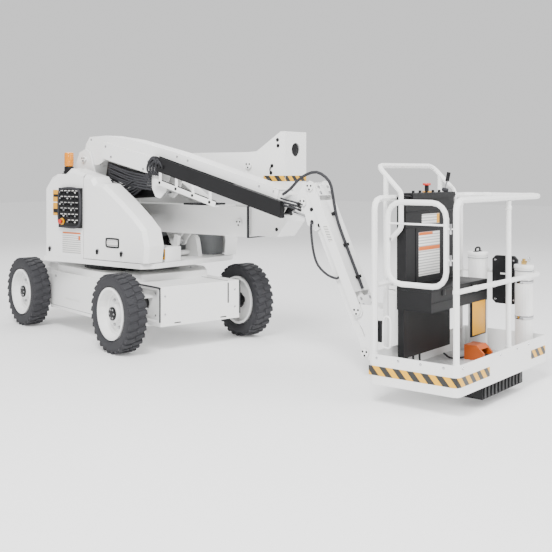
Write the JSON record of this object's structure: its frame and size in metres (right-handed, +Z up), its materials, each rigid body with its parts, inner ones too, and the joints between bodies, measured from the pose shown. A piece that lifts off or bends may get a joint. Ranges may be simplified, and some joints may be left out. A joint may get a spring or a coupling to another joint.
{
  "type": "articulating boom lift",
  "caption": "Self-propelled articulating boom lift with a folding riser, a telescoping main boom, a jib and a work platform.",
  "frame": {"origin": "on the ground, under the middle of the machine's box", "axes": "+X along the stowed boom towards the platform, +Y to the left, +Z up"},
  "size_m": [4.9077, 1.832, 1.722],
  "materials": {
    "white": "satin",
    "black": "satin",
    "rubber": "matte",
    "steel": "polished",
    "grey": "satin",
    "amber": "gloss",
    "tyre": "matte",
    "plastic": "matte"
  },
  "bodies": {
    "base": {"chassis_frame": "white", "deck": "white", "front_axle_box": "white", "rear_axle_left": "black", "rear_axle_right": "black", "turntable_ring": "black"},
    "turret": {"battery_block": "black", "beacon": "amber", "control_panel": "plastic", "counterweight": "white", "hydraulic_block": "grey", "right_cover": "white", "turret_base": "black"},
    "main_boom": {"cable_tray": "plastic", "main_boom": "white"},
    "platform": {"canister_back": "white", "canister_front": "white", "console": "plastic", "console_guard": "white", "foot_switch": "amber", "guard_rail": "white", "mid_rail": "white", "platform_bracket": "white", "platform_tray": "white", "side_panel": "plastic", "step": "plastic"},
    "gate": {"gate": "white"},
    "inner_boom": {"inner_boom": "white", "level_barrel": "black"},
    "jib_arm": {"jib_arm": "white", "lower_hose": "rubber", "upper_hose": "rubber"},
    "jib_barrel": {"jib_barrel": "white"},
    "jib_link": {"jib_link": "white"},
    "jib_rod": {"jib_rod": "steel"},
    "knuckle_bracket": {"knuckle_bracket": "white"},
    "left_cover": {"left_cover": "white"},
    "level_rod": {"level_rod": "steel"},
    "lift_barrel": {"lift_barrel": "black"},
    "lift_rod": {"lift_rod": "steel"},
    "lower_arm": {"lower_arm": "white"},
    "nose_bracket": {"nose_bracket": "white"},
    "platform_mount": {"platform_mount": "white"},
    "right_door": {"right_door": "white"},
    "front_wheel_left": {"rim_front_left": "white", "tyre_front_left": "tyre"},
    "front_wheel_right": {"rim_front_right": "white", "tyre_front_right": "tyre"},
    "rear_wheel_left": {"rim_rear_left": "white", "tyre_rear_left": "tyre"},
    "rear_wheel_right": {"rim_rear_right": "white", "tyre_rear_right": "tyre"},
    "riser_barrel": {"riser_barrel": "black"},
    "riser_rod": {"riser_rod": "steel"},
    "steer_left": {"steering_knuckle_left": "black"},
    "steer_right": {"steering_knuckle_right": "black"},
    "upper_arm": {"upper_arm": "white"},
    "pivot_bracket": {"upper_pivot_bracket": "white"}
  },
  "joints": [
    {"name": "steer_right", "type": "hinge", "parent": "base", "child": "steer_right", "pos_m": [-0.45852, -0.6202, 0.309], "axis": [0, 0, 1], "range_deg": [-30, 30]},
    {"name": "front_wheel_right", "type": "hinge", "parent": "steer_right", "child": "front_wheel_right", "pos_m": [-0.49299, -0.77696, 0.309], "axis": [0.2147, 0.9767, 0], "continuous": true},
    {"name": "rear_wheel_right", "type": "hinge", "parent": "base", "child": "rear_wheel_right", "pos_m": [-2.13673, -0.41556, 0.309], "axis": [0.2147, 0.9767, 0], "continuous": true},
    {"name": "steer_left", "type": "hinge", "parent": "base", "child": "steer_left", "pos_m": [-0.26526, 0.2588, 0.309], "axis": [0, 0, 1], "range_deg": [-30, 30]},
    {"name": "front_wheel_left", "type": "hinge", "parent": "steer_left", "child": "front_wheel_left", "pos_m": [-0.2308, 0.41556, 0.309], "axis": [0.2147, 0.9767, 0], "continuous": true},
    {"name": "rear_wheel_left", "type": "hinge", "parent": "base", "child": "rear_wheel_left", "pos_m": [-1.87454, 0.77696, 0.309], "axis": [0.2147, 0.9767, 0], "continuous": true},
    {"name": "turret_swing", "type": "hinge", "parent": "base", "child": "turret", "pos_m": [-1.18376, 0, 0.625], "axis": [0, 0, 1], "range_deg": [-177, 177]},
    {"name": "right_door", "type": "hinge", "parent": "turret", "child": "right_door", "pos_m": [-1.16776, -0.552, 0.9], "axis": [0, 0, -1], "range_deg": [0, 100]},
    {"name": "left_cover", "type": "hinge", "parent": "turret", "child": "left_cover", "pos_m": [-1.68876, 0.545, 0.9], "axis": [0, 0, 1], "range_deg": [0, 100]},
    {"name": "riser_lift", "type": "hinge", "parent": "turret", "child": "lower_arm", "pos_m": [-1.53376, 0.095, 1], "axis": [0, -1, 0], "range_deg": [0, 60]},
    {"name": "knuckle_level", "type": "hinge", "parent": "lower_arm", "child": "knuckle_bracket", "pos_m": [0.11624, 0.095, 1], "axis": [0, 1, 0], "range_deg": [-1, 61]},
    {"name": "upper_arm_lift", "type": "hinge", "parent": "knuckle_bracket", "child": "upper_arm", "pos_m": [0.21624, 0.095, 1.46], "axis": [0, 1, 0], "range_deg": [-1, 61]},
    {"name": "pivot_level", "type": "hinge", "parent": "upper_arm", "child": "pivot_bracket", "pos_m": [-1.43376, 0.095, 1.46], "axis": [0, -1, 0], "range_deg": [-1, 61]},
    {"name": "riser_cylinder", "type": "hinge", "parent": "turret", "child": "riser_barrel", "pos_m": [-1.60376, 0.095, 0.76], "axis": [0, -1, 0], "range_deg": [-1, 50.88]},
    {"name": "riser_rod", "type": "slide", "parent": "riser_barrel", "child": "riser_rod", "axis": [0.9985, 0, 0.0555], "range_m": [-0.002, 0.1824]},
    {"name": "boom_lift", "type": "hinge", "parent": "pivot_bracket", "child": "main_boom", "pos_m": [-1.43376, -0.22, 1.52], "axis": [0, -1, 0], "range_deg": [0, 85]},
    {"name": "lift_cylinder", "type": "hinge", "parent": "pivot_bracket", "child": "lift_barrel", "pos_m": [-1.46376, -0.22, 1.2], "axis": [0, -1, 0], "range_deg": [-1, 70.39]},
    {"name": "lift_rod", "type": "slide", "parent": "lift_barrel", "child": "lift_rod", "axis": [0.9988, 0, 0.0486], "range_m": [-0.002, 0.3244]},
    {"name": "telescope", "type": "slide", "parent": "main_boom", "child": "inner_boom", "axis": [0.9664, 0, -0.2571], "range_m": [0, 0.9]},
    {"name": "nose_level", "type": "hinge", "parent": "inner_boom", "child": "nose_bracket", "pos_m": [0.94624, -0.22, 1.19], "axis": [0, 1, 0], "range_deg": [-1, 86], "deforming": ["upper_hose", "lower_hose"]},
    {"name": "level_rod", "type": "slide", "parent": "inner_boom", "child": "level_rod", "axis": [0.963, 0, -0.2696], "range_m": [-0.2145, 0.002]},
    {"name": "jib_lift", "type": "hinge", "parent": "nose_bracket", "child": "jib_arm", "pos_m": [1.01624, -0.22, 1.3], "axis": [0, -1, 0], "range_deg": [0, 130], "deforming": ["upper_hose", "lower_hose"]},
    {"name": "jib_link", "type": "hinge", "parent": "nose_bracket", "child": "jib_link", "pos_m": [1.07624, -0.22, 1.02], "axis": [0, -1, 0], "range_deg": [-1, 131]},
    {"name": "jib_cylinder", "type": "hinge", "parent": "nose_bracket", "child": "jib_barrel", "pos_m": [1.07624, -0.22, 1.02], "axis": [0, -1, 0], "range_deg": [-1, 133.68]},
    {"name": "jib_rod", "type": "slide", "parent": "jib_barrel", "child": "jib_rod", "axis": [0.5149, 0, -0.8572], "range_m": [-0.002, 0.5204]},
    {"name": "platform_level", "type": "hinge", "parent": "jib_arm", "child": "platform_mount", "pos_m": [1.41624, -0.22, 0.454], "axis": [0, 1, 0], "range_deg": [-1, 131]},
    {"name": "platform_turn", "type": "hinge", "parent": "platform_mount", "child": "platform", "pos_m": [1.67624, -0.22, 0.4], "axis": [0, 0, 1], "range_deg": [-90, 90]},
    {"name": "gate", "type": "hinge", "parent": "platform", "child": "gate", "pos_m": [2.39174, -0.828, 1], "axis": [0, 0, -1], "range_deg": [0, 75]}
  ],
  "couplings": [
    {"joint": "steer_left", "follows": "steer_right", "ratio": 1},
    {"joint": "knuckle_level", "follows": "riser_lift", "ratio": 1},
    {"joint": "upper_arm_lift", "follows": "riser_lift", "ratio": 1},
    {"joint": "pivot_level", "follows": "riser_lift", "ratio": 1},
    {"joint": "riser_cylinder", "follows": "riser_lift", "ratio": 0.83131},
    {"joint": "riser_rod", "follows": "riser_lift", "m_per_rad": 0.1713},
    {"joint": "lift_cylinder", "follows": "boom_lift", "ratio": 0.81631},
    {"joint": "lift_rod", "follows": "boom_lift", "m_per_rad": 0.21667},
    {"joint": "nose_level", "follows": "boom_lift", "ratio": 1},
    {"joint": "level_rod", "follows": "boom_lift", "m_per_rad": -0.14256},
    {"joint": "jib_link", "follows": "jib_lift", "ratio": 1},
    {"joint": "jib_cylinder", "follows": "jib_lift", "ratio": 1.0207},
    {"joint": "jib_rod", "follows": "jib_lift", "m_per_rad": 0.22804},
    {"joint": "platform_level", "follows": "jib_lift", "ratio": 1}
  ]
}
